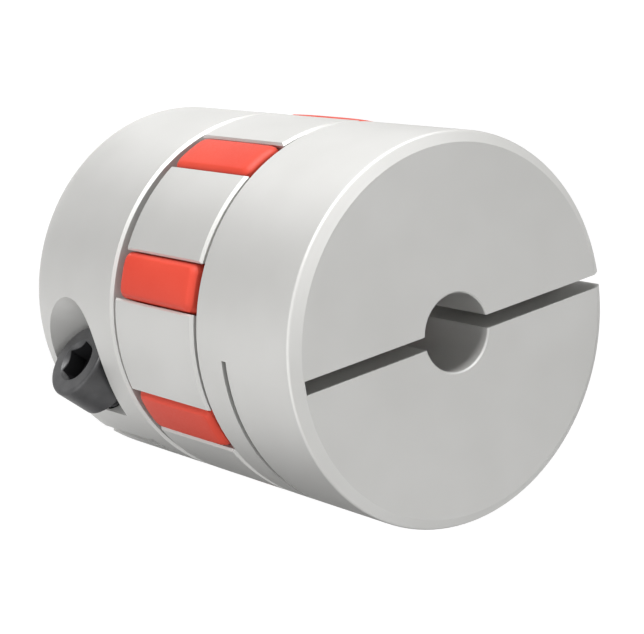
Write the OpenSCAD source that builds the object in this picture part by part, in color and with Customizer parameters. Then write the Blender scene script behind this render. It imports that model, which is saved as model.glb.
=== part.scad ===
// Jaw coupling for joining two shafts end to end.
// Two clamp hubs with interlocking jaws, an elastic spider between their
// jaws, and one socket-head screw across the slit of each hub.
// It stands on the end face of the lower hub, with the shaft axis along Z.

/* [Hubs] */
// Outer diameter of both hubs
outer_d = 40; // [38:0.5:50]
// Length of a hub's round body, from its end face to the face its jaws stand on
hub_len = 16.8; // [15.5:0.1:26]
// Space between the two hub bodies, where the jaws and the spider sit
band_len = 16.4; // [12:0.1:22]
// Diameter of the shaft bore
bore_d = 8; // [5:0.5:14]
// Chamfer at both mouths of the bore
bore_chamfer = 0.15; // [0.1:0.05:0.6]
// Radial width of the bevel round the end face
bevel_w = 1.15; // [0.6:0.05:1.6]
// Axial height of the bevel round the end face
bevel_h = 0.75; // [0.4:0.05:1.6]
// Rounding where the bevel runs into the outer diameter
rim_round = 0.5; // [0.2:0.05:1]

/* [Jaws] */
// Number of jaws on each hub
jaw_count = 4; // [3:1:5]
// Gap between the tips of the lower hub's jaws and the upper hub's body
lower_tip_gap = 0.7; // [0.4:0.1:2]
// Gap between the tips of the upper hub's jaws and the lower hub's body
upper_tip_gap = 1.4; // [0.4:0.1:2]
// Chamfer of the outer edges at both ends of the jaws and of the hub's edge beside them
jaw_edge = 0.3; // [0.2:0.05:0.8]
// Chamfer of the outer edges along the flanks of the jaws
flank_edge = 0.35; // [0.1:0.05:0.6]
// Width of the groove turned round the root of the jaws
groove_w = 0.6; // [0.2:0.05:0.8]
// Depth of the groove turned round the root of the jaws
groove_depth = 1.2; // [1:0.1:2]

/* [Clamp] */
// Width of the slit across the bore
slit_w = 1.4; // [0.8:0.1:2]
// Thickness of the web that closes the slit and works as the hinge
web_t = 1.25; // [0.8:0.05:3]
// Length of the clamp arm, from the end face to the relief cut
arm_len = 11.5; // [10.5:0.1:13]
// Width of the relief cut that frees the clamp arm
relief_w = 0.75; // [0.5:0.05:1.2]
// How far the relief cut runs past the middle of the slit
relief_past = 1.3; // [1.1:0.1:2]
// Height of the clamp screw above the end face
screw_height = 7.5; // [6.8:0.1:7.8]
// Metal between the clamp screw and the outer diameter
screw_wall = 1.2; // [1:0.1:2]
// Thickness of the metal that the screw head pulls on
seat_t = 4.8; // [4:0.1:6.5]

/* [Clamp screw] */
// Thread diameter
screw_d = 5; // [4:0.5:5]
// Length under the head
screw_len = 12; // [10:1:12]
// How far the lower screw is turned out of its seat, which leaves its hub open for a shaft
lower_screw_out = 1.5; // [0:0.1:2]
// How far the upper screw is turned out of its seat
upper_screw_out = 0; // [0:0.1:2]
// Head diameter
head_d = 8.5; // [7:0.5:9]
// Head height
head_h = 5; // [4:0.5:6]
// Rounding of the head's top edge
head_round = 0.5; // [0.2:0.05:0.8]
// Width across the flats of the hex socket
hex_af = 4; // [3:0.5:4]
// Depth of the hex socket
hex_depth = 2.5; // [2:0.1:3]
// Depth of the countersink at the mouth of the hex socket
hex_sink = 0.7; // [0.35:0.05:1]
// Turn of the hex socket about the screw's axis
hex_turn = 9; // [0:1:59]
// Gap between the head and the wall of its pocket
head_gap = 1.05; // [0.3:0.05:1.2]
// Gap round the shank in the arm that the head sits on
shank_gap = 0.25; // [0.1:0.05:0.5]
// Gap between the shank and the tapped hole
thread_gap = 0.05; // [0.03:0.01:0.1]

/* [Spider] */
// Diameter of the hole through the middle
spider_bore_d = 15; // [12:0.5:17]
// Radial thickness of the ring that joins the legs
ring_t = 3.1; // [2:0.1:4]
// How far the ring lies below the ends of the legs
ring_recess = 1.5; // [0.5:0.1:3]
// Width of a leg at its thickest, half way along it
leg_w = 5.8; // [4.5:0.1:6.2]
// Radius of the crowned flanks of the legs
flank_r = 20; // [15:1:60]
// Gap between a leg's end and the hub body
leg_end_gap = 1.2; // [0.5:0.1:2]
// Rounding of the outer edges at both ends of the legs
leg_round = 0.8; // [0.3:0.05:1]
// Rounding of the outer edges along the flanks of the legs
leg_side_round = 0.4; // [0.2:0.05:0.8]
// Gap between a leg and a jaw, and between the ring and the jaws
leg_fit = 0.15; // [0.05:0.05:0.3]

/* [Hidden] */
$fn = 96;
// Overlap of a cut past the face that it opens
over = 1;
// Steps of a rounding drawn as a turned profile
arc_steps = 6;

outer_r = outer_d / 2;
total_len = 2 * hub_len + band_len;
bore_r = bore_d / 2;
bevel_len = norm([bevel_w, bevel_h]);
rim_z = bevel_h + rim_round * (bevel_len - bevel_h) / bevel_w;
rim_angle = atan2(bevel_w, bevel_h);

// Angle from one jaw to the next, which is one of the other hub
half_pitch = 180 / jaw_count;
// The lower hub is turned so that its jaws stand between the upper ones
lower_turn = 5 * half_pitch;

screw_offset = outer_r - screw_wall - screw_d / 2;
seat_y = slit_w / 2 + seat_t;
pocket_d = head_d + 2 * head_gap;
shank_chamfer = 0.6;
head_chamfer = 0.3;
hex_d = hex_af / cos(30);

leg_len = band_len - 2 * leg_end_gap;
ring_r = spider_bore_d / 2 + ring_t;
ring_len = leg_len - 2 * ring_recess;
jaw_in_r = ring_r + leg_fit;
leg_mid_r = (ring_r + outer_r) / 2;

// Points of an arc round the point [r, z] from the angle a0 to the angle a1
function arc(r, z, rad, a0, a1) = [
    for (i = [0:arc_steps])
        let (a = a0 + (a1 - a0) * i / arc_steps)
            [r + rad * cos(a), z + rad * sin(a)]
];

// Half section of a hub's body: end face, bevel, outer diameter, jaw side
function body_profile() = concat(
    [[0, 0], [outer_r - bevel_w, 0]],
    arc(outer_r - rim_round, rim_z, rim_round, -rim_angle, 0),
    [[outer_r, hub_len - jaw_edge], [outer_r - jaw_edge, hub_len], [0, hub_len]]
);

// Half section of the jaws, with the groove at their root and chamfered ends
function jaw_profile(tip_gap) =
    let (root_z = hub_len + groove_w, tip_z = hub_len + band_len - tip_gap) [
        [0, hub_len - over],
        [outer_r - groove_depth, hub_len - over],
        [outer_r - groove_depth, root_z],
        [outer_r - jaw_edge, root_z],
        [outer_r, root_z + jaw_edge],
        [outer_r, tip_z - jaw_edge],
        [outer_r - jaw_edge, tip_z],
        [0, tip_z]
    ];

// Half section of the spider: a thin ring inside, longer legs outside
function spider_profile() = concat(
    [[ring_r, -leg_len / 2]],
    arc(outer_r - leg_round, leg_round - leg_len / 2, leg_round, -90, 0),
    arc(outer_r - leg_round, leg_len / 2 - leg_round, leg_round, 0, 90),
    [[ring_r, leg_len / 2], [ring_r, ring_len / 2]],
    [[spider_bore_d / 2, ring_len / 2], [spider_bore_d / 2, -ring_len / 2], [ring_r, -ring_len / 2]]
);

// Half section of the screw's head, seat down, rounded on top
function head_profile() = concat(
    [[0, 0], [head_d / 2 - head_chamfer, 0], [head_d / 2, head_chamfer]],
    arc(head_d / 2 - head_round, head_h - head_round, head_round, 0, 90),
    [[0, head_h]]
);

// Disc whose edge is one crowned flank of a leg that lies along X
module flank_disc(grow) {
    translate([leg_mid_r, leg_w / 2 - flank_r]) circle(flank_r + grow);
}

// Outline of a leg that lies along X, thickest at its middle
module leg_outline(grow) {
    intersection() {
        flank_disc(grow);
        mirror([0, 1]) flank_disc(grow);
    }
}

// Half the width of the gap for a leg that lies along X, at the distance x from the axis
function flank_y(x) = leg_w / 2 - flank_r + sqrt(pow(flank_r + leg_fit, 2) - pow(x - leg_mid_r, 2));

// Square on its corner that chamfers the edge between a flank and the outer diameter
module flank_chamfer() {
    edge_x = sqrt(pow(outer_r, 2) - pow(flank_y(outer_r), 2));
    for (side = [-1, 1]) {
        translate([edge_x, side * flank_y(edge_x)]) rotate(45) square(flank_edge * sqrt(2), center = true);
    }
}

// Section of one jaw that lies along X, hollowed on both flanks for the legs
module jaw_section() {
    reach = 2 * outer_r;
    difference() {
        polygon([
            [0, 0],
            [reach * cos(half_pitch / 2), -reach * sin(half_pitch / 2)],
            [reach * cos(half_pitch / 2), reach * sin(half_pitch / 2)]
        ]);
        circle(jaw_in_r);
        for (side = [-1, 1]) {
            rotate(side * half_pitch / 2) leg_outline(leg_fit);
            rotate(side * half_pitch / 2) flank_chamfer();
        }
    }
}

module jaws(tip_gap) {
    intersection() {
        rotate_extrude() polygon(jaw_profile(tip_gap));
        translate([0, 0, hub_len - over]) linear_extrude(band_len + 2 * over) {
            for (k = [0:jaw_count - 1]) rotate((2 * k + 1) * half_pitch) jaw_section();
        }
    }
}

// The shaft bore, opened by a chamfer at both ends
module bore() {
    mouth = bore_chamfer + over;
    translate([0, 0, -over]) cylinder(h = hub_len + 2 * over, d = bore_d);
    translate([0, 0, -over]) cylinder(h = mouth, r1 = bore_r + mouth, r2 = bore_r);
    translate([0, 0, hub_len - bore_chamfer]) cylinder(h = mouth, r1 = bore_r, r2 = bore_r + mouth);
}

// The slit across the bore, closed by the hinge web, and the relief cut that frees the arm
module clamp_cuts() {
    slit_end = outer_r - web_t;
    slit_len = slit_end + outer_r + over;
    translate([slit_end - slit_len, -slit_w / 2, -over]) cube([slit_len, slit_w, arm_len + relief_w + over]);
    translate([-outer_r - over, -outer_r - over, arm_len])
        cube([2 * (outer_r + over), outer_r + over + relief_past, relief_w]);
}

// Places a thing that stands on the screw's seat with its axis along Z
module at_screw() {
    translate([-screw_offset, seat_y, screw_height]) rotate([-90, 0, 0]) children();
}

// Head pocket, clearance hole to the slit, and tapped hole through the arm beyond it
module screw_holes() {
    at_screw() {
        cylinder(h = outer_r, d = pocket_d);
        translate([0, 0, -seat_y]) cylinder(h = seat_y + over, d = screw_d + 2 * shank_gap);
        translate([0, 0, -seat_y - outer_r]) cylinder(h = outer_r + over, d = screw_d + 2 * thread_gap);
    }
}

// A hub with its end face at the height 0 and its jaws upwards
module hub(tip_gap) {
    difference() {
        union() {
            rotate_extrude() polygon(body_profile());
            jaws(tip_gap);
        }
        bore();
        clamp_cuts();
        screw_holes();
    }
}

// The socket: a hexagon with a countersunk mouth
module hex_socket() {
    translate([0, 0, head_h - hex_depth]) rotate(hex_turn) cylinder(h = hex_depth + over, d = hex_d, $fn = 6);
    translate([0, 0, head_h - hex_sink]) cylinder(h = hex_sink + over, r1 = hex_af / 2, r2 = hex_af / 2 + hex_sink + over);
}

// The screw with its head on the seat, or turned out of it
module clamp_screw(out) {
    at_screw() translate([0, 0, out]) {
        difference() {
            rotate_extrude() polygon(head_profile());
            hex_socket();
        }
        translate([0, 0, shank_chamfer - screw_len]) cylinder(h = screw_len, d = screw_d);
        translate([0, 0, -screw_len])
            cylinder(h = shank_chamfer, r1 = screw_d / 2 - shank_chamfer, r2 = screw_d / 2);
    }
}

// Carries a thing from the hub's own place to the lower hub
module as_lower() {
    rotate(lower_turn) children();
}

// Carries a thing from the hub's own place to the upper hub, which stands upside down
module as_upper() {
    translate([0, 0, total_len]) rotate([180, 0, 0]) children();
}

module lower_hub() {
    color([0.78, 0.78, 0.76]) as_lower() hub(lower_tip_gap);
}

module upper_hub() {
    color([0.78, 0.78, 0.76]) as_upper() hub(upper_tip_gap);
}

module lower_clamp_screw() {
    color([0.17, 0.17, 0.18]) as_lower() clamp_screw(lower_screw_out);
}

module upper_clamp_screw() {
    color([0.17, 0.17, 0.18]) as_upper() clamp_screw(upper_screw_out);
}

// The legs, with their outer corners rounded, and the ring that joins them
module spider_section() {
    offset(r = leg_side_round) offset(delta = -leg_side_round) intersection() {
        for (k = [0:2 * jaw_count - 1]) rotate((k + 0.5) * half_pitch) leg_outline(0);
        circle(outer_r);
    }
    circle(ring_r);
}

module spider() {
    color([0.88, 0.33, 0.27]) translate([0, 0, total_len / 2]) intersection() {
        rotate_extrude() polygon(spider_profile());
        linear_extrude(leg_len, center = true) spider_section();
    }
}

lower_hub();
upper_hub();
spider();
lower_clamp_screw();
upper_clamp_screw();
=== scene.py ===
# %% [markdown]
# # A jaw coupling
#
# A jaw coupling joins two shafts end to end. Two aluminium hubs grip the shafts, their jaws reach
# past each other like the fingers of two hands, and a red elastic spider sits between the jaws and
# carries the load without play. A screw across the slit of each hub closes it on its shaft.
#
# The hubs come ready from the CAD model, with true curves, so this lesson only gives them a finish.
# The spider and the two screws are made again here, because a moulded edge and a thread need more
# shape than the CAD solids hold. Then come the finishes, the stage, the light and the camera.

# %% Load the coupling and keep its box
from math import cos, pi, radians, sin, tau

import bpy
import numpy as np
from mathutils import Matrix, Vector


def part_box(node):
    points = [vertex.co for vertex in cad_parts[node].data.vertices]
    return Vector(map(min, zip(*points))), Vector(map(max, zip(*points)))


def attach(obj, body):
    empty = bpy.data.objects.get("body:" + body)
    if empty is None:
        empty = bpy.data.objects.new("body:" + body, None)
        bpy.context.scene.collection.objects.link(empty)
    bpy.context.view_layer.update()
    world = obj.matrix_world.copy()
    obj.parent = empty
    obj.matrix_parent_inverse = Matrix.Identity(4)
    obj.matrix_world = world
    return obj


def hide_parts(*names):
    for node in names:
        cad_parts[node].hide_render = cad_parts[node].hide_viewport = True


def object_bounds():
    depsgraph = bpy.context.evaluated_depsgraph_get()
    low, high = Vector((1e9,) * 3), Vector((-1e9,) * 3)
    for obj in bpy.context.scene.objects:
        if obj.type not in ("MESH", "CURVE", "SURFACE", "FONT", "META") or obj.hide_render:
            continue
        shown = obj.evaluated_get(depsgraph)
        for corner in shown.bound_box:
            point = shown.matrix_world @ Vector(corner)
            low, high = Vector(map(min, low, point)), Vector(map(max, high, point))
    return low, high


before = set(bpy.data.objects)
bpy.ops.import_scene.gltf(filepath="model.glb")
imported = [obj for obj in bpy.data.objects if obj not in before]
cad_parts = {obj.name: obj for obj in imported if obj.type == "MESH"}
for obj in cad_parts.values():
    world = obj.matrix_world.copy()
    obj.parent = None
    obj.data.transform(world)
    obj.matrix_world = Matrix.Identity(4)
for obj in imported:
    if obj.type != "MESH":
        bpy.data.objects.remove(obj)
cad_low, cad_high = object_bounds()
MM = 0.001
print("nodes:", sorted(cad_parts))

# %% [markdown]
# ## Sizes
#
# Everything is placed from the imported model: the outer radius and the length come from the upper
# hub's box, and the legs' length and the middle plane from the spider's. The sizes that a box can't
# tell are named below, in millimetres, as they are in the part.

# %% Measure the frame
hub_high = np.array(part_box("upper_hub")[1]) / MM
spider_low, spider_high = (np.array(corner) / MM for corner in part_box("spider"))
OUTER_R = hub_high[1]
TOTAL_LEN = hub_high[2]
LEG_LEN = spider_high[2] - spider_low[2]
MID_Z = (spider_low[2] + spider_high[2]) / 2
LEG_COUNT = 8
LEG_PITCH = tau / LEG_COUNT
print(f"outer radius {OUTER_R:.2f} mm, length {TOTAL_LEN:.2f} mm, legs {LEG_LEN:.2f} mm long")

# %% [markdown]
# ## Surfaces from grids
#
# Each new piece is a grid of points: a ring of points carried along a path. Numpy works out all the
# points at once, and the faces follow from counting, because the neighbour of point (i, j) is
# (i, j + 1) along its ring and (i + 1, j) on the next ring. A path that ends is shut by a fan of
# triangles, and a path that comes back to its start joins its last ring to its first.
#
# A face has a front and a back. A closed shape that points outwards has a positive volume, so the
# sum of the small pyramids between its faces and the origin tells whether to turn the faces round.

# %% Faces of a grid of rings
def ring_faces(rings, points, closed):
    """Quads between neighbouring rings: (i, j), (i, j+1), (i+1, j+1), (i+1, j), with j counted round."""
    strips = rings if closed else rings - 1
    i, j = np.meshgrid(np.arange(strips), np.arange(points), indexing="ij")
    near, far = i, (i + 1) % rings
    beside = (j + 1) % points
    corners = [near * points + j, near * points + beside, far * points + beside, far * points + j]
    return np.stack(corners, axis=-1).reshape(-1, 4)


def end_fans(rings, points):
    """Triangles from the first and the last ring to one middle point each, numbered after the grid."""
    j = np.arange(points)
    beside = (j + 1) % points
    last = (rings - 1) * points
    first_fan = np.stack([beside, j, np.full(points, rings * points)], axis=-1)
    last_fan = np.stack([last + j, last + beside, np.full(points, rings * points + 1)], axis=-1)
    return np.concatenate([first_fan, last_fan])


def volume(vertices, quads, triangles):
    """Sum of a . (b x c) / 6 over the triangles, with each quad cut in two."""
    halves = np.concatenate([quads[:, [0, 1, 2]], quads[:, [0, 2, 3]], triangles])
    a, b, c = (vertices[halves[:, k]] for k in range(3))
    return np.einsum("ij,ij->i", a, np.cross(b, c)).sum() / 6


# %% A mesh from a grid of rings
CREASE = radians(35)


def solid_from_rings(grid, closed=False):
    """Vertices, quads and triangles of a tube of rings, shut at its ends or joined to itself."""
    rings, points = grid.shape[:2]
    vertices = grid.reshape(-1, 3)
    quads = ring_faces(rings, points, closed)
    triangles = np.zeros((0, 3), int)
    if not closed:
        vertices = np.concatenate([vertices, grid[[0, -1]].mean(axis=1)])
        triangles = end_fans(rings, points)
    if volume(vertices, quads, triangles) < 0:
        quads, triangles = quads[:, ::-1], triangles[:, ::-1]
    return vertices, quads, triangles


def make_piece(name, vertices, quads, triangles):
    """An object at the origin with its place in its mesh, smooth but for edges sharper than CREASE."""
    mesh = bpy.data.meshes.new(name)
    mesh.from_pydata((vertices * MM).tolist(), [], quads.tolist() + triangles.tolist())
    mesh.shade_smooth()
    mesh.set_sharp_from_angle(angle=CREASE)
    piece = bpy.data.objects.new(name, mesh)
    bpy.context.scene.collection.objects.link(piece)
    print(f"{name}: {len(vertices)} vertices, {len(quads)} quads, {len(triangles)} triangles")
    return piece


# %% [markdown]
# ## The spider's legs
#
# The spider is one moulding of red elastomer: a ring with eight legs. The legs' flanks are crowned,
# so a leg is thickest half way along and rolls into the hollow flanks of the jaws beside it. What
# shows is the outer end of each leg, with soft moulded edges and corners.
#
# A box with a Bevel modifier would round all its edges alike and stay flat on top. Here a leg is a
# rounded rectangle carried outwards: along the flanks, over a soft bevel at the edge, and over the
# outer face to its middle. The outer face follows the hubs' own cylinder and swells a little above
# it, because the legs are pressed between the jaws. That is the red line on the upper outline.

# %% Sizes of the spider
RING_IN = 7.5
RING_OUT = 10.6
RING_INSET = 1.5
RING_LEN = LEG_LEN - 2 * RING_INSET
RING_EDGE = 0.4
LEG_W = 5.8
FLANK_R = 20.0
LEG_END_EDGE = 0.8
LEG_SIDE_EDGE = 0.4
LEG_EDGE_RISE = 0.5
LEG_EDGE_FLATNESS = 1.4
LEG_CORNER = 1.0
LEG_SWELL = 0.2
LEG_SUNK = 1.2
LEG_ROOT_R = RING_OUT - LEG_SUNK
LEG_MID_R = (RING_OUT + OUTER_R) / 2


# %% A rounded rectangle as a ring of points
def rounded_ring(half_w, half_l, corner, corner_steps=7, side_steps=5):
    """Four quarter circles c + r (cos a, sin a) about the corners' centres, with straight sides between.

    half_w is a column with one half width for each ring, and the result is rings by points by two.
    """
    quarter = np.linspace(0, pi / 2, corner_steps)
    angle = np.arange(4)[:, None] * pi / 2 + quarter
    side_y = np.array([1, -1, -1, 1])[:, None]
    side_z = np.array([1, 1, -1, -1])[:, None]
    half_w, half_l, corner = (np.reshape(size, (-1, 1, 1)) for size in (half_w, half_l, corner))
    y = side_y * (half_w - corner) + corner * np.cos(angle)
    z = side_z * (half_l - corner) + corner * np.sin(angle)
    arcs = np.stack(np.broadcast_arrays(y, z), axis=-1)
    start = arcs[:, :, -1:]
    stop = np.roll(arcs[:, :, :1], -1, axis=1)
    share = np.linspace(0, 1, side_steps + 2)[1:-1, None]
    sides = start + (stop - start) * share
    return np.concatenate([arcs, sides], axis=2).reshape(len(arcs), -1, 2)


# %% One leg along X
def leg_grid(flank_steps=14, edge_steps=8, face_steps=8):
    """Rings of a leg: half width w(x) = LEG_W/2 - FLANK_R + sqrt(FLANK_R^2 - (x - LEG_MID_R)^2).

    At the edge x rises by r sin(a)^p while the ring is drawn in by e (1 - cos(a)^p), a quarter circle
    for p = 1 and a bevel with soft borders for p nearer 2. Over the outer face the ring shrinks to its
    middle. The outer face is the cylinder x = sqrt(OUTER_R^2 - y^2) with a swell of
    s (1 - (2y / LEG_W)^2) (1 - (2z / LEG_LEN)^4) on it.
    """
    turn = np.linspace(0, pi / 2, edge_steps + 1)[1:]
    edge_x = OUTER_R - LEG_EDGE_RISE * (1 - np.sin(turn) ** LEG_EDGE_FLATNESS)
    flank_x = np.linspace(LEG_ROOT_R, OUTER_R - LEG_EDGE_RISE, flank_steps)
    x = np.concatenate([flank_x, edge_x])
    inset = np.concatenate([np.zeros(flank_steps), 1 - np.clip(np.cos(turn), 0, 1) ** LEG_EDGE_FLATNESS])
    half_w = LEG_W / 2 - FLANK_R + np.sqrt(FLANK_R**2 - (x - LEG_MID_R) ** 2) - LEG_SIDE_EDGE * inset
    corner = LEG_CORNER - LEG_SIDE_EDGE * inset
    outline = rounded_ring(half_w, LEG_LEN / 2 - LEG_END_EDGE * inset, corner)
    shrink = np.linspace(1, 0, face_steps + 1)[1:-1]
    face = outline[-1] * shrink[:, None, None]
    outline = np.concatenate([outline, face])
    x = np.concatenate([x, np.full(len(face), OUTER_R)])
    follow = np.clip((x - LEG_ROOT_R) / (OUTER_R - LEG_ROOT_R), 0, 1)[:, None]
    y, z = outline[..., 0], outline[..., 1]
    bend = OUTER_R - np.sqrt(OUTER_R**2 - y**2)
    swell = LEG_SWELL * (1 - (2 * y / LEG_W) ** 2) * (1 - (2 * z / LEG_LEN) ** 4)
    return np.stack([x[:, None] + follow * (np.maximum(swell, 0) - bend), y, z], axis=-1)


# %% Eight legs about the axis
def turned(points, angle):
    """Points turned about Z by an angle: (x cos - y sin, x sin + y cos, z)."""
    x, y, z = points[..., 0], points[..., 1], points[..., 2]
    return np.stack([x * cos(angle) - y * sin(angle), x * sin(angle) + y * cos(angle), z], axis=-1)


def all_legs():
    """The leg repeated at half a pitch and each whole pitch after it, as one set of arrays."""
    vertices, quads, triangles = solid_from_rings(leg_grid())
    vertices = vertices + [0, 0, MID_Z]
    step = np.arange(LEG_COUNT)
    copies = np.concatenate([turned(vertices, (k + 0.5) * LEG_PITCH) for k in step])
    shift = (step * len(vertices))[:, None, None]
    return copies, (quads + shift).reshape(-1, 4), (triangles + shift).reshape(-1, 3)


legs = make_piece("spider_legs", *all_legs())

# %% [markdown]
# ## The spider's ring
#
# The ring joins the legs. It is a rounded rectangle carried once round the axis, so its grid closes
# both ways. A Boolean then makes one skin of the ring and the legs, with no faces left inside.

# %% Ring, and one skin with the legs
def ring_grid(turns=192):
    """A rounded rectangle of the ring's section at each angle: ((m + s) cos a, (m + s) sin a, z)."""
    middle = (RING_IN + RING_OUT) / 2
    section = rounded_ring([(RING_OUT - RING_IN) / 2], RING_LEN / 2, RING_EDGE)[0]
    angle = np.linspace(0, tau, turns, endpoint=False)[:, None]
    reach = middle + section[:, 0]
    z = np.broadcast_to(MID_Z + section[:, 1], (turns, len(section)))
    return np.stack([reach * np.cos(angle), reach * np.sin(angle), z], axis=-1)


def joined(piece, other):
    """The piece with the other one's skin joined to its own, and the other one removed."""
    join = piece.modifiers.new("one_skin", "BOOLEAN")
    join.operation = "UNION"
    join.solver = "EXACT"
    join.object = other
    graph = bpy.context.evaluated_depsgraph_get()
    skin = bpy.data.meshes.new_from_object(piece.evaluated_get(graph))
    piece.modifiers.clear()
    piece.data = skin
    bpy.data.objects.remove(other)
    skin.shade_smooth()
    skin.set_sharp_from_angle(angle=CREASE)
    print(f"{piece.name}: {len(skin.polygons)} faces in one skin")
    return piece


spider = joined(make_piece("elastomer_spider", *solid_from_rings(ring_grid(), closed=True)), legs)
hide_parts("spider")
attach(spider, "root")

# %% [markdown]
# ## The clamp screws
#
# Each hub is closed by a socket-head screw. From outside one sees the head in its pocket: a plain
# side, a rounded top edge, and a hex socket whose countersunk mouth leaves a scalloped rim. The
# thread shows where the screw crosses the slit and at the end of the tapped hole.
#
# The whole screw is one grid of rings from its tip to the bottom of its socket. Two stretches change
# with the angle. On the thread the radius depends on z / pitch - angle / turn, which is a helix. In
# the socket it is the larger of the hexagon and the countersink's cone at that depth, which draws
# the scallops without any Boolean. A number on each point marks the inside of the socket, where the
# finish paints shade: near black steel without gloss stands in for the dark of the deep recess.

# %% Sizes of the screw
THREAD_R = 2.5
THREAD_PITCH = 0.8
THREAD_DEPTH = 0.61 * THREAD_PITCH
CREST_SHARE = 1 / 8
ROOT_SHARE = 1 / 4
SCREW_LEN = 12.0
TIP_CHAMFER = 0.6
HEAD_R = 4.25
HEAD_H = 5.0
HEAD_ROUND = 0.5
SEAT_CHAMFER = 0.3
HEX_AF = 4.2
HEX_DEPTH = 2.5
HEX_SINK = 0.45
SINK_REACH = 1.3 * HEX_SINK
HEX_TURN = radians(9)
DRILL_POINT = 0.6
SOCKET_BLEND = 0.1
SCREW_ANGLES = HEX_TURN + np.linspace(0, tau, 168, endpoint=False)


# %% Thread and socket as formulas
def thread_radius(z):
    """A 60 degree thread: crest an eighth of the pitch wide, root a quarter, straight flanks between.

    The groove starts full at the tip and runs out below the head, and the tip's chamfer cuts it off.
    """
    phase = (z[:, None] / THREAD_PITCH - SCREW_ANGLES / tau) % 1.0
    away = np.abs(2 * phase - 1)
    groove = np.clip((away - CREST_SHARE) / (1 - CREST_SHARE - ROOT_SHARE), 0, 1)
    run_out = np.clip(-z / THREAD_PITCH, 0, 1)[:, None]
    chamfer = (THREAD_R - TIP_CHAMFER + z + SCREW_LEN)[:, None]
    return np.minimum(THREAD_R - THREAD_DEPTH * groove * run_out, chamfer)


def hex_radius():
    """Distance to a hexagon's side: (across flats / 2) / cos(angle from the nearest flat's middle)."""
    from_corner = (SCREW_ANGLES - HEX_TURN) % (tau / 6)
    return HEX_AF / 2 / np.cos(from_corner - tau / 12)


# %% The screw's rings
def screw_grid(per_pitch=12, sink_steps=10):
    """Rings from the tip to the socket's floor, with the seat under the head at z = 0.

    With them comes a number for each point, the strength of the shade painted in the socket: nought
    outside, and clip((hexagon - cone) / SOCKET_BLEND) in the socket, which is one on its walls and its
    floor.
    """
    thread_z = np.arange(-SCREW_LEN, 0, THREAD_PITCH / per_pitch)
    turn = np.linspace(0, pi / 2, 9)
    head_r = np.concatenate([
        [THREAD_R, HEAD_R - SEAT_CHAMFER, HEAD_R],
        HEAD_R - HEAD_ROUND + HEAD_ROUND * np.cos(turn),
    ])
    head_z = np.concatenate([[0, 0, SEAT_CHAMFER], HEAD_H - HEAD_ROUND + HEAD_ROUND * np.sin(turn)])
    depth = np.concatenate([np.linspace(0, SINK_REACH, sink_steps), [HEX_DEPTH]])
    cone_r = HEX_AF / 2 + HEX_SINK - depth
    socket_r = np.maximum(hex_radius(), cone_r[:, None])
    floor_share = np.array([0.66, 0.33, 0.03])
    floor_r = hex_radius() * floor_share[:, None]
    around = np.ones_like(SCREW_ANGLES)
    radius = np.concatenate([thread_radius(thread_z), head_r[:, None] * around, socket_r, floor_r])
    floor_z = HEAD_H - HEX_DEPTH - DRILL_POINT * (1 - floor_share)
    z = np.concatenate([thread_z, head_z, HEAD_H - depth, floor_z])[:, None] * around
    inside = np.zeros_like(radius)
    first = len(thread_z) + len(head_z)
    inside[first:] = 1
    inside[first : first + len(depth)] = np.clip((hex_radius() - cone_r[:, None]) / SOCKET_BLEND, 0, 1)
    return np.stack([radius * np.cos(SCREW_ANGLES), radius * np.sin(SCREW_ANGLES), z], axis=-1), inside


# %% Where a screw sits on its hub
SCREW_OFFSET = 16.3
SCREW_HEIGHT = 7.5
SEAT_Y = 5.5
LOWER_SCREW_OUT = 1.5
UPPER_SCREW_OUT = 0.0
LOWER_TURN = radians(225)


def on_hub(points, out):
    """From the screw's own place to the hub's: its axis along Y, turned out of its seat by out."""
    x, y, z = points[..., 0], points[..., 1], points[..., 2]
    return np.stack([x - SCREW_OFFSET, z + SEAT_Y + out, SCREW_HEIGHT - y], axis=-1)


def as_lower(points):
    """The lower hub is the hub turned about the axis, so that its jaws stand between the upper ones."""
    return turned(points, LOWER_TURN)


def as_upper(points):
    """The upper hub stands upside down: (x, -y, length - z)."""
    return points * [1, -1, -1] + [0, 0, TOTAL_LEN]


# %% Both screws
def mark_points(piece, name, values):
    """A named number on each point of the piece, for its finish to read."""
    marks = piece.data.attributes.new(name, "FLOAT", "POINT")
    marks.data.foreach_set("value", values)


screws = []
# The second array is the strength of the shade painted into each socket.
screw_rings, socket_painted_shade = screw_grid()
socket_shade_marks = np.concatenate([socket_painted_shade.ravel(), [0, 1]])
for place, out, cad_node in (
    (as_lower, LOWER_SCREW_OUT, "lower_clamp_screw"),
    (as_upper, UPPER_SCREW_OUT, "upper_clamp_screw"),
):
    screw = make_piece("threaded_" + cad_node, *solid_from_rings(place(on_hub(screw_rings, out))))
    mark_points(screw, "socket_painted_shade", socket_shade_marks)
    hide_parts(cad_node)
    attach(screw, "root")
    screws.append(screw)

# %% [markdown]
# ## Finishes
#
# Three finishes cover the coupling: satin aluminium, red elastomer and black steel. All three share
# one effect, a fine grain with slow clouds in it, so it is a node group with its own sockets. Each
# material places the group, gives it its own sizes, and keeps its own Principled shader. A Mix node
# has sockets for numbers, vectors and colours, and those for colours are known by their places.

# %% Helpers for node trees
MIX_FIRST = 6
MIX_SECOND = 7
MIX_RESULT = 2


def node(tree, kind, inputs=None, **settings):
    """A new node with its settings, and with values or links on its inputs."""
    made = tree.nodes.new(kind)
    for name, value in settings.items():
        setattr(made, name, value)
    for name, value in (inputs or {}).items():
        if isinstance(value, bpy.types.NodeSocket):
            tree.links.new(value, made.inputs[name])
        else:
            made.inputs[name].default_value = value
    return made


def math(tree, operation, *values):
    """The output of a Math node over sockets or numbers."""
    made = node(tree, "ShaderNodeMath", dict(enumerate(values)), operation=operation)
    return made.outputs[0]


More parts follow.
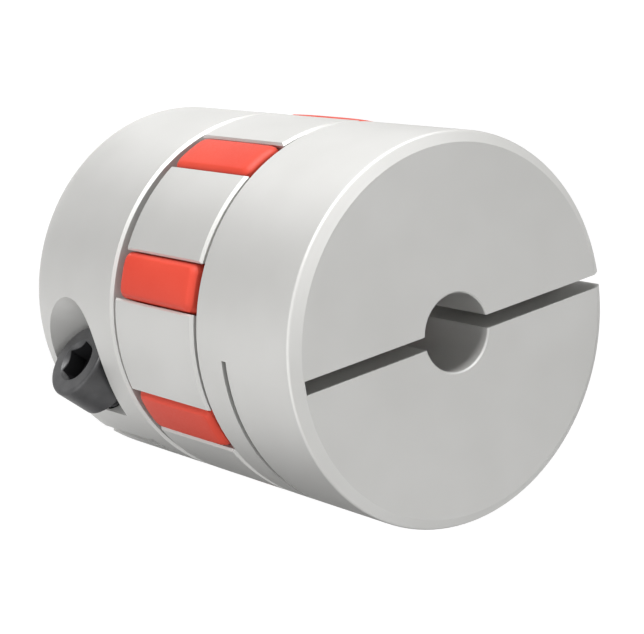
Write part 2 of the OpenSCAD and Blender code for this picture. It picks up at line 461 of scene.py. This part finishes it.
# %% The shared grain
def make_surface_grain():
    """Noise at two sizes over the Object coordinates: Grain for bumps and gloss, Cloud for colour."""
    group = bpy.data.node_groups.new("surface_grain", "ShaderNodeTree")
    group.interface.new_socket("Place", in_out="INPUT", socket_type="NodeSocketVector")
    group.interface.new_socket("Grain scale", in_out="INPUT", socket_type="NodeSocketFloat")
    group.interface.new_socket("Cloud scale", in_out="INPUT", socket_type="NodeSocketFloat")
    group.interface.new_socket("Grain", in_out="OUTPUT", socket_type="NodeSocketFloat")
    group.interface.new_socket("Cloud", in_out="OUTPUT", socket_type="NodeSocketFloat")
    given = node(group, "NodeGroupInput").outputs
    grain = node(group, "ShaderNodeTexNoise", {
        "Vector": given["Place"], "Scale": given["Grain scale"], "Detail": 3.0, "Roughness": 0.6,
    })
    cloud = node(group, "ShaderNodeTexNoise", {
        "Vector": given["Place"], "Scale": given["Cloud scale"], "Detail": 2.0, "Roughness": 0.5,
    })
    node(group, "NodeGroupOutput", {"Grain": grain.outputs["Fac"], "Cloud": cloud.outputs["Fac"]})
    return group


SURFACE_GRAIN = make_surface_grain()


def grained_material(name, grain_scale, cloud_scale):
    """A material with the grain group placed in it: its tree, its Principled shader, place and outputs."""
    material = bpy.data.materials.new(name)
    material.use_nodes = True
    tree = material.node_tree
    shader = tree.nodes["Principled BSDF"]
    place = node(tree, "ShaderNodeTexCoord").outputs["Object"]
    grain = node(tree, "ShaderNodeGroup", node_tree=SURFACE_GRAIN)
    tree.links.new(place, grain.inputs["Place"])
    grain.inputs["Grain scale"].default_value = grain_scale
    grain.inputs["Cloud scale"].default_value = cloud_scale
    return material, tree, shader, place, grain.outputs


def between(tree, mask, low, high):
    """A value that runs from low to high as the mask goes from 0.3 to 0.7, where noise mostly lies."""
    made = node(tree, "ShaderNodeMapRange", {
        "Value": mask, "From Min": 0.3, "From Max": 0.7, "To Min": low, "To Max": high,
    })
    return made.outputs["Result"]


def blend_colour(tree, mask, low, high):
    """A colour that runs from low to high with the mask."""
    made = node(tree, "ShaderNodeMix", data_type="RGBA")
    tree.links.new(between(tree, mask, 0.0, 1.0), made.inputs["Factor"])
    made.inputs[MIX_FIRST].default_value = (*low, 1)
    made.inputs[MIX_SECOND].default_value = (*high, 1)
    return made.outputs[MIX_RESULT]


# %% [markdown]
# ### Satin aluminium
#
# The hubs are turned and milled, then finely blasted and anodised: an even, slightly warm grey with
# a soft gloss. Close up there are still the lathe's fine lines, rings on the end faces and bands on
# the outside. They follow the distance from the axis or the height, so they are drawn with a sine
# over the Object coordinates, and the blasting grain lies over them.

# %% Aluminium
ALUMINIUM_DARK = (0.600, 0.597, 0.580)
ALUMINIUM_LIGHT = (0.640, 0.637, 0.622)
ALUMINIUM_METALLIC = 0.4
LATHE_PITCH = 0.16 * MM
LATHE_SHARE = 0.08
END_FACE_Z = 0.8


def make_aluminium():
    """Warm grey metal with lathe lines: height sin(tau d / pitch), d = radius on end faces, else z."""
    material, tree, shader, place, grain = grained_material(
        "satin_aluminium", grain_scale=9000.0, cloud_scale=90.0
    )
    parts = node(tree, "ShaderNodeSeparateXYZ", {"Vector": place}).outputs
    flat = node(tree, "ShaderNodeVectorMath", {0: place, 1: (1, 1, 0)}, operation="MULTIPLY").outputs[0]
    radius = node(tree, "ShaderNodeVectorMath", {0: flat}, operation="LENGTH").outputs["Value"]
    normal = node(tree, "ShaderNodeNewGeometry").outputs["Normal"]
    upright = node(tree, "ShaderNodeSeparateXYZ", {"Vector": normal}).outputs["Z"]
    on_end = math(tree, "GREATER_THAN", math(tree, "ABSOLUTE", upright), END_FACE_Z)
    across = node(tree, "ShaderNodeMix", {"Factor": on_end, "A": parts["Z"], "B": radius}).outputs[0]
    lines = math(tree, "SINE", math(tree, "MULTIPLY", across, tau / LATHE_PITCH))
    height = math(tree, "ADD", grain["Grain"], math(tree, "MULTIPLY", lines, LATHE_SHARE))
    bump = node(tree, "ShaderNodeBump", {"Height": height, "Strength": 0.12, "Distance": 0.02 * MM})
    tree.links.new(bump.outputs["Normal"], shader.inputs["Normal"])
    colour = blend_colour(tree, grain["Cloud"], ALUMINIUM_DARK, ALUMINIUM_LIGHT)
    tree.links.new(colour, shader.inputs["Base Color"])
    tree.links.new(between(tree, grain["Grain"], low=0.40, high=0.48), shader.inputs["Roughness"])
    shader.inputs["Metallic"].default_value = ALUMINIUM_METALLIC
    return material


# %% [markdown]
# ### Red elastomer
#
# The spider is moulded from a firm polyurethane. Its skin is a strong, slightly orange red with a
# dull gloss, and the mould leaves a very fine texture on it.

# %% Elastomer
RED_DARK = (0.61, 0.060, 0.036)
RED_LIGHT = (0.65, 0.072, 0.044)
RED_SPECULAR = 0.25


def make_elastomer():
    """Red with slow clouds, a fine moulded texture and a dull gloss."""
    material, tree, shader, _, grain = grained_material(
        "red_elastomer", grain_scale=4000.0, cloud_scale=120.0
    )
    bump = node(tree, "ShaderNodeBump", {
        "Height": grain["Grain"], "Strength": 0.15, "Distance": 0.03 * MM,
    })
    tree.links.new(bump.outputs["Normal"], shader.inputs["Normal"])
    colour = blend_colour(tree, grain["Cloud"], RED_DARK, RED_LIGHT)
    tree.links.new(colour, shader.inputs["Base Color"])
    tree.links.new(between(tree, grain["Grain"], low=0.42, high=0.52), shader.inputs["Roughness"])
    shader.inputs["Specular IOR Level"].default_value = RED_SPECULAR
    return material


# %% [markdown]
# ### Black steel
#
# The screws are alloy steel with a black oxide skin: nearly black, a little uneven, with a soft
# metallic gloss on the rounded edges. Inside the socket the steel is painted darker and duller, as painted
# shade for the deep recess.

# %% Black steel
OXIDE_DARK = (0.050, 0.050, 0.052)
OXIDE_LIGHT = (0.075, 0.075, 0.077)
OXIDE_METALLIC = 0.3
OXIDE_SPECULAR = 0.5
# Painted shade: the colour of the socket's walls and floor, near black for the dark of the deep recess.
SOCKET_PAINTED_SHADE = (0.016, 0.016, 0.017)


def make_black_steel():
    """Near black metal with a fine uneven gloss; where the socket's number is one, shade is painted in: a
    near black colour and no gloss.
    """
    material, tree, shader, _, grain = grained_material(
        "black_steel", grain_scale=5000.0, cloud_scale=500.0
    )
    bump = node(tree, "ShaderNodeBump", {
        "Height": grain["Grain"], "Strength": 0.2, "Distance": 0.02 * MM,
    })
    tree.links.new(bump.outputs["Normal"], shader.inputs["Normal"])
    colour = blend_colour(tree, grain["Cloud"], OXIDE_DARK, OXIDE_LIGHT)
    # Painted shade: the socket's number mixes in the near black colour and takes away metallic gloss and
    # specular.
    inside = node(tree, "ShaderNodeAttribute", attribute_name="socket_painted_shade").outputs["Fac"]
    darkened = node(tree, "ShaderNodeMix", {"Factor": inside}, data_type="RGBA")
    tree.links.new(colour, darkened.inputs[MIX_FIRST])
    darkened.inputs[MIX_SECOND].default_value = (*SOCKET_PAINTED_SHADE, 1)
    tree.links.new(darkened.outputs[MIX_RESULT], shader.inputs["Base Color"])
    outside = math(tree, "SUBTRACT", 1.0, inside)
    tree.links.new(math(tree, "MULTIPLY", outside, OXIDE_METALLIC), shader.inputs["Metallic"])
    tree.links.new(math(tree, "MULTIPLY", outside, OXIDE_SPECULAR), shader.inputs["Specular IOR Level"])
    tree.links.new(between(tree, grain["Grain"], low=0.34, high=0.46), shader.inputs["Roughness"])
    return material


# %% Put the finishes on
def finish_with(piece, material):
    """The piece shows only this material."""
    piece.data.materials.clear()
    piece.data.materials.append(material)


aluminium = make_aluminium()
for hub in ("lower_hub", "upper_hub"):
    finish_with(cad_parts[hub], aluminium)
finish_with(spider, make_elastomer())
black_steel = make_black_steel()
for screw in screws:
    finish_with(screw, black_steel)
print("finishes:", [material.name for material in bpy.data.materials if material.users])

# %% [markdown]
# ## Stage
#
# The coupling stands on its lower end face on a pale floor, under a white sky. Both are white to the
# camera and to reflections by a Light Path switch, so the background needs no extra light. The
# floor's own part of the colour is lit by the lamps and keeps the coupling's shadow. Right under
# the coupling there is no white, so the slit and the bore stay dark where one looks down them.

# %% Floor
FLOOR_SIZE = 6.0
FLOOR_GAP = 0.02 * MM
FLOOR_COLOUR = (0.25, 0.25, 0.25)
FLOOR_WHITE = 0.88
FOOT_INSET = 1.2
FOOT_R = OUTER_R - FOOT_INSET


def seen_directly(tree):
    """One for camera, glossy and transmission rays, else nought."""
    path = node(tree, "ShaderNodeLightPath").outputs
    gloss = math(tree, "MAXIMUM", path["Is Glossy Ray"], path["Is Transmission Ray"])
    return math(tree, "MAXIMUM", path["Is Camera Ray"], gloss)


def dull_material(name, colour):
    """A material without gloss that can also shine white, with its tree and its shader."""
    material = bpy.data.materials.new(name)
    material.use_nodes = True
    tree = material.node_tree
    shader = tree.nodes["Principled BSDF"]
    shader.inputs["Base Color"].default_value = (*colour, 1)
    shader.inputs["Roughness"].default_value = 1.0
    shader.inputs["Specular IOR Level"].default_value = 0.0
    shader.inputs["Emission Color"].default_value = (1, 1, 1, 1)
    return material, tree, shader


def make_floor():
    """A square of pale floor just under the coupling, white beyond FOOT_R from the axis."""
    half = FLOOR_SIZE / 2
    z = cad_low.z - FLOOR_GAP
    mesh = bpy.data.meshes.new("floor")
    corners = [(-half, -half, z), (half, -half, z), (half, half, z), (-half, half, z)]
    mesh.from_pydata(corners, [], [(0, 1, 2, 3)])
    floor = bpy.data.objects.new("floor", mesh)
    bpy.context.scene.collection.objects.link(floor)
    material, tree, shader = dull_material("pale_floor", FLOOR_COLOUR)
    place = node(tree, "ShaderNodeTexCoord").outputs["Object"]
    radius = node(tree, "ShaderNodeVectorMath", {0: place}, operation="LENGTH").outputs["Value"]
    clear = math(tree, "MULTIPLY", math(tree, "GREATER_THAN", radius, FOOT_R * MM), FLOOR_WHITE)
    tree.links.new(math(tree, "MULTIPLY", clear, seen_directly(tree)), shader.inputs["Emission Strength"])
    mesh.materials.append(material)


make_floor()

# %% [markdown]
# ### Cards with a dark wash
#
# Satin metal shows soft images of what lies round it. In a studio one sets cards beside a metal thing
# to give it darker bands. Two cards do that here, and only reflections see them. Each is white with a
# dark wash, and each of its points carries the strength of the wash there.
#
# The first is a flat ring on the floor, washed in front of the coupling and more widely behind it, so
# that the outside gets its bands. The second hangs behind the camera, where a room is dark. Its wash
# fades towards its rim, and it keeps the bevel round the end face darker than the rim beside it.

# %% Directions round the coupling
TARGET = Vector((0, 0, TOTAL_LEN / 2 * MM))


def direction(azimuth, elevation):
    """Unit vector at an azimuth from +X towards +Y and an elevation above the floor, in degrees."""
    a, e = radians(azimuth), radians(elevation)
    return Vector((cos(a) * cos(e), sin(a) * cos(e), sin(e)))


# %% A card from rings of points
CARD_COLOUR = (0.03, 0.03, 0.03)


def make_card(name, grid, wash, white):
    """A card for reflections only, of strength white where there is no wash and dark under a full one."""
    mesh = bpy.data.meshes.new(name)
    mesh.from_pydata(grid.reshape(-1, 3).tolist(), [], ring_faces(*grid.shape[:2], False).tolist())
    card = bpy.data.objects.new(name, mesh)
    bpy.context.scene.collection.objects.link(card)
    mark_points(card, "wash", wash.ravel())
    material, tree, shader = dull_material(name, CARD_COLOUR)
    washed = node(tree, "ShaderNodeAttribute", attribute_name="wash").outputs["Fac"]
    left = math(tree, "MULTIPLY", math(tree, "SUBTRACT", 1.0, washed), white)
    tree.links.new(math(tree, "MULTIPLY", left, seen_directly(tree)), shader.inputs["Emission Strength"])
    mesh.materials.append(material)
    card.visible_camera = False
    card.visible_diffuse = False
    card.visible_shadow = False


# %% The card on the floor
CARD_IN = 20.5 * MM
CARD_OUT = 260 * MM
WASH_ANGLES = [-180, -165, -130, -82, -52, -30, 0, 34, 66, 180]
WASH_STRENGTHS = [1, 1, 0, 0, 1, 1, 0, 0, 1, 1]


def floor_card(steps=180):
    """A flat ring r (cos a, sin a) for two radii, with the wash read off between the named angles."""
    degrees = np.linspace(-180, 180, steps, endpoint=False)
    angle = np.radians(degrees)
    reach = np.array([CARD_IN, CARD_OUT])[:, None]
    height = np.full((2, steps), cad_low.z - FLOOR_GAP / 2)
    grid = np.stack([reach * np.cos(angle), reach * np.sin(angle), height], axis=-1)
    wash = np.interp(degrees, WASH_ANGLES, WASH_STRENGTHS)
    make_card("floor_card", grid, np.tile(wash, (2, 1)), FLOOR_WHITE)


floor_card()

# %% The card behind the camera
ROOM_AZIMUTH = 5
ROOM_ELEVATION = 58
ROOM_DISTANCE = 0.5
ROOM_RADIUS = 0.42
ROOM_WASH = 1.0
SKY_WHITE = 1.0


def room_card(rings=16, steps=64):
    """A disc c + r (u cos a + v sin a) that faces the coupling, washed by ROOM_WASH (1 - (r/R)^2)^2."""
    towards = direction(ROOM_AZIMUTH, ROOM_ELEVATION)
    across, up, _ = (np.array(axis) for axis in towards.to_track_quat("Z", "Y").to_matrix().transposed())
    share = np.linspace(0.01, 1, rings)[:, None]
    angle = np.linspace(0, tau, steps, endpoint=False)[:, None]
    rim = across * np.cos(angle) + up * np.sin(angle)
    centre = np.array(TARGET + towards * ROOM_DISTANCE)
    wash = ROOM_WASH * (1 - share**2) ** 2 * np.ones(steps)
    make_card("room_card", centre + ROOM_RADIUS * share[..., None] * rim, wash, SKY_WHITE)


room_card()

# %% Sky
SKY_LIGHT = 0.05


def make_sky():
    """White to the camera and to reflections, and a plain soft light to everything else."""
    world = bpy.data.worlds.new("white_sky")
    world.use_nodes = True
    tree = world.node_tree
    background = tree.nodes["Background"]
    background.inputs["Color"].default_value = (1, 1, 1, 1)
    direct = seen_directly(tree)
    strength = node(tree, "ShaderNodeMix", {"Factor": direct, "A": SKY_LIGHT, "B": SKY_WHITE}).outputs[0]
    tree.links.new(strength, background.inputs["Strength"])
    bpy.context.scene.world = world


make_sky()

# %% [markdown]
# ## Light
#
# A long soft lamp stands low beside the coupling. It makes the outside bright along one side, and its
# image draws the bright lines on the rounded edges. A thin strip at the floor carries the line on the
# rim further round. Weaker lamps in front, above and behind fill what these leave dark, so they are
# kept out of the reflections. A lamp's power is worked out from the brightness that it gives a white
# card at the coupling: a soft lamp of power p at distance d lights it to p / (pi d)^2.

# %% Lamps
def add_lamp(name, azimuth, elevation, distance, width, height, brightness, mirrored):
    """A rectangular soft lamp that faces the coupling's middle. The metal shows its image if mirrored."""
    lamp = bpy.data.lights.new(name, "AREA")
    lamp.shape = "RECTANGLE"
    lamp.size = width
    lamp.size_y = height
    lamp.energy = brightness * (pi * distance) ** 2
    holder = bpy.data.objects.new(name, lamp)
    towards = direction(azimuth, elevation)
    holder.location = TARGET + towards * distance
    holder.rotation_euler = towards.to_track_quat("Z", "Y").to_euler()
    holder.visible_glossy = mirrored
    bpy.context.scene.collection.objects.link(holder)
    print(f"{name}: {lamp.energy:.2f} W")


# Name, azimuth and elevation in degrees, distance, width and height in metres, brightness, mirrored
LAMPS = [
    ("side_softbox", -86, 7, 0.42, 0.44, 0.13, 1.40, True),
    ("rim_strip", 8, 0, 0.42, 0.40, 0.04, 0.14, True),
    ("front_softbox", 4, 5, 0.42, 0.40, 0.10, 0.48, False),
    ("upper_softbox", -5, 70, 0.24, 0.18, 0.18, 0.54, False),
    ("rear_softbox", 154, 5, 0.42, 0.44, 0.10, 0.70, False),
]
for lamp_row in LAMPS:
    add_lamp(*lamp_row)

# %% [markdown]
# ## Camera
#
# The photograph looks at the coupling lying on its side. Here it stands, so the camera looks down on
# it and is rolled about its own axis until the picture is the same. Lens, distance and angles were
# fitted to the edges of the hubs, the bore and the slit.

# %% Camera
CAMERA_AZIMUTH = -25.95
CAMERA_ELEVATION = 53.08
CAMERA_ROLL = 102.01
CAMERA_DISTANCE = 228.67
CAMERA_AIM = Vector((-0.614, 1.708, 25.976))
IMAGE_W = 644
FOCAL_PIXELS = 2112.65
SENSOR_W = 36.0
CLIP_START = 0.01


def add_camera():
    """A camera on a sphere round its aim, level at first, then rolled about its line of sight."""
    lens = bpy.data.cameras.new("photo_camera")
    lens.sensor_fit = "HORIZONTAL"
    lens.sensor_width = SENSOR_W
    lens.lens = FOCAL_PIXELS / IMAGE_W * SENSOR_W
    lens.clip_start = CLIP_START
    camera = bpy.data.objects.new("photo_camera", lens)
    back = direction(CAMERA_AZIMUTH, CAMERA_ELEVATION)
    level = back.to_track_quat("Z", "Y").to_matrix().to_4x4()
    place = Matrix.Translation((CAMERA_AIM + back * CAMERA_DISTANCE) * MM)
    camera.matrix_world = place @ level @ Matrix.Rotation(radians(CAMERA_ROLL), 4, "Z")
    bpy.context.scene.collection.objects.link(camera)
    bpy.context.scene.camera = camera
    print(f"lens {lens.lens:.1f} mm")


add_camera()
bpy.context.scene.view_settings.view_transform = "Standard"
